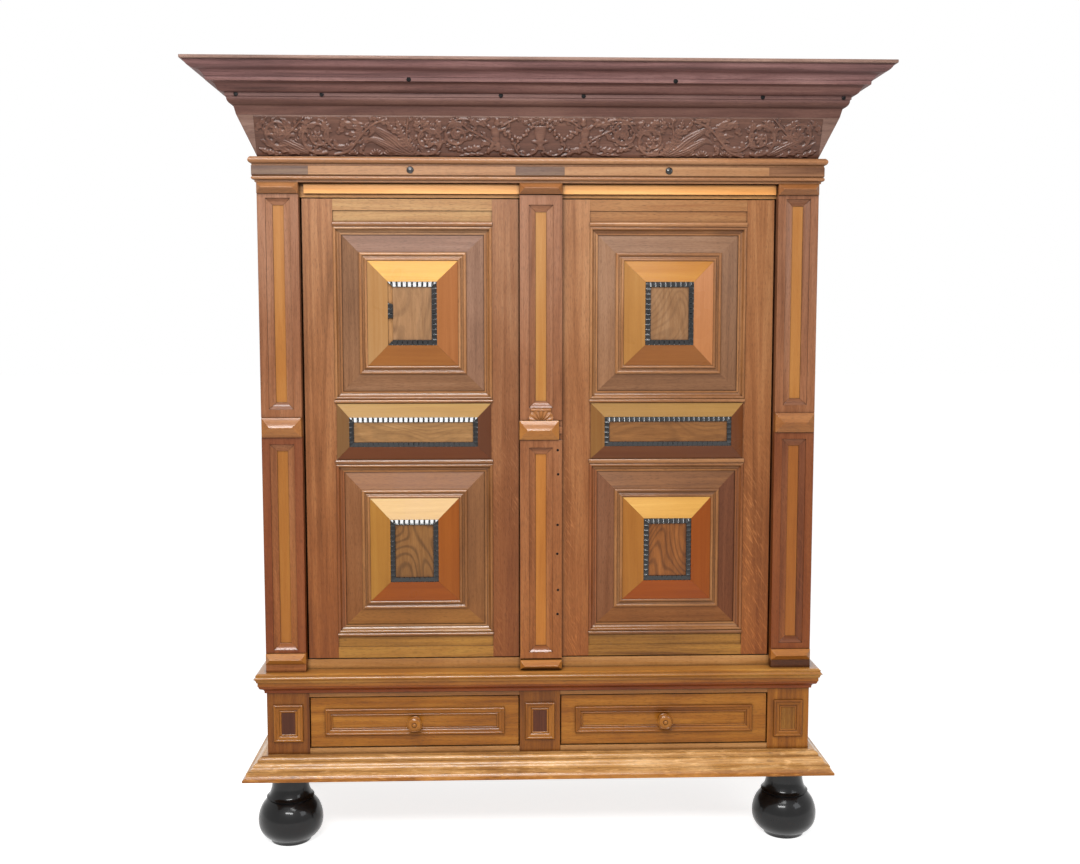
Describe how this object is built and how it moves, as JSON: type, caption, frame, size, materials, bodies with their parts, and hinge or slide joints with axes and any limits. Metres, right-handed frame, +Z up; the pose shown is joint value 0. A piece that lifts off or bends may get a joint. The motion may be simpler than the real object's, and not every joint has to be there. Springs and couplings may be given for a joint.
{
  "type": "cushion-door linen cupboard",
  "caption": "Two-door linen cupboard with raised cushion panels and pilasters, over a plinth with drawers on ball feet, under a wide carved cornice; doors, drawers, lock and bolts move.",
  "frame": {"origin": "middle of the bounding box at floor level", "axes": "+X to the right seen from the front, +Y to the back, +Z up"},
  "size_m": [1.838, 0.739, 2.15],
  "materials": {
    "wood_carcass": "waxed",
    "wood_door": "waxed",
    "wood_inside": "bare",
    "wood_cornice": "waxed",
    "wood_light": "satin",
    "wood_figured": "satin",
    "ebony": "gloss",
    "black_gloss": "gloss",
    "iron": "worn"
  },
  "bodies": {
    "case": {"architrave": "wood_cornice", "architrave_band": "wood_light", "back_boards": "wood_inside", "base_boards": "wood_inside", "base_moulding": "wood_carcass", "base_post_mouldings": "wood_carcass", "base_post_plates": "wood_figured", "base_posts": "wood_carcass", "base_walls": "wood_carcass", "body_boards": "wood_inside", "bottom_frame": "wood_inside", "cornice_top": "wood_cornice", "crown_moulding": "wood_cornice", "drawer_rails": "wood_carcass", "drawer_runners": "wood_inside", "frieze_boards": "wood_cornice", "frieze_carving": "wood_cornice", "front_feet": "black_gloss", "front_posts": "wood_carcass", "front_rails": "wood_carcass", "light_inlays": "wood_light", "lower_cornice": "wood_cornice", "middle_moulding": "wood_carcass", "outer_pilasters": "wood_carcass", "pilaster_blocks": "wood_carcass", "pivot_sockets": "iron", "rear_feet": "wood_inside", "rear_posts": "wood_carcass", "shelf_battens": "wood_inside", "shelves": "wood_inside", "side_panels": "wood_carcass", "side_rails": "wood_carcass"},
    "left_door": {"left_door_ebony": "ebony", "left_door_facets": "wood_light", "left_door_frame": "wood_door", "left_door_irons": "iron", "left_door_mouldings": "wood_door", "left_door_panels": "wood_door", "left_door_pins": "iron", "left_door_plates": "wood_figured"},
    "right_door": {"right_door_ebony": "ebony", "right_door_facets": "wood_light", "right_door_frame": "wood_door", "right_door_mouldings": "wood_door", "right_door_panels": "wood_door", "right_door_pins": "iron", "right_door_plates": "wood_figured", "centre_pilaster": "wood_door", "centre_inlays": "wood_light", "lock_case": "iron"},
    "left_drawer": {"left_drawer_box": "wood_inside", "left_drawer_front": "wood_carcass", "left_drawer_knob": "wood_carcass"},
    "right_drawer": {"right_drawer_box": "wood_inside", "right_drawer_front": "wood_carcass", "right_drawer_knob": "wood_carcass"},
    "lock_bolt": {"lock_bolt": "iron"},
    "keyhole_cover": {"keyhole_cover": "wood_carcass"},
    "upper_bolt": {"upper_bolt": "iron"},
    "lower_bolt": {"lower_bolt": "iron"}
  },
  "joints": [
    {"name": "left_door_hinge", "type": "hinge", "parent": "case", "child": "left_door", "pos_m": [-0.6205, -0.1715, 0.54], "axis": [0, 0, -1], "range_deg": [0, 100]},
    {"name": "right_door_hinge", "type": "hinge", "parent": "case", "child": "right_door", "pos_m": [0.6205, -0.1715, 0.54], "axis": [0, 0, 1], "range_deg": [0, 100]},
    {"name": "left_drawer_slide", "type": "slide", "parent": "case", "child": "left_drawer", "axis": [0, -1, 0], "range_m": [0, 0.36]},
    {"name": "right_drawer_slide", "type": "slide", "parent": "case", "child": "right_drawer", "axis": [0, -1, 0], "range_m": [0, 0.36]},
    {"name": "keyhole_cover_slide", "type": "slide", "parent": "right_door", "child": "keyhole_cover", "axis": [1, 0, 0], "range_m": [0, 0.05]},
    {"name": "lock_bolt_slide", "type": "slide", "parent": "right_door", "child": "lock_bolt", "axis": [-1, 0, 0], "range_m": [0, 0.028]},
    {"name": "upper_bolt_slide", "type": "slide", "parent": "left_door", "child": "upper_bolt", "axis": [0, 0, 1], "range_m": [0, 0.018]},
    {"name": "lower_bolt_slide", "type": "slide", "parent": "left_door", "child": "lower_bolt", "axis": [0, 0, -1], "range_m": [0, 0.018]}
  ]
}
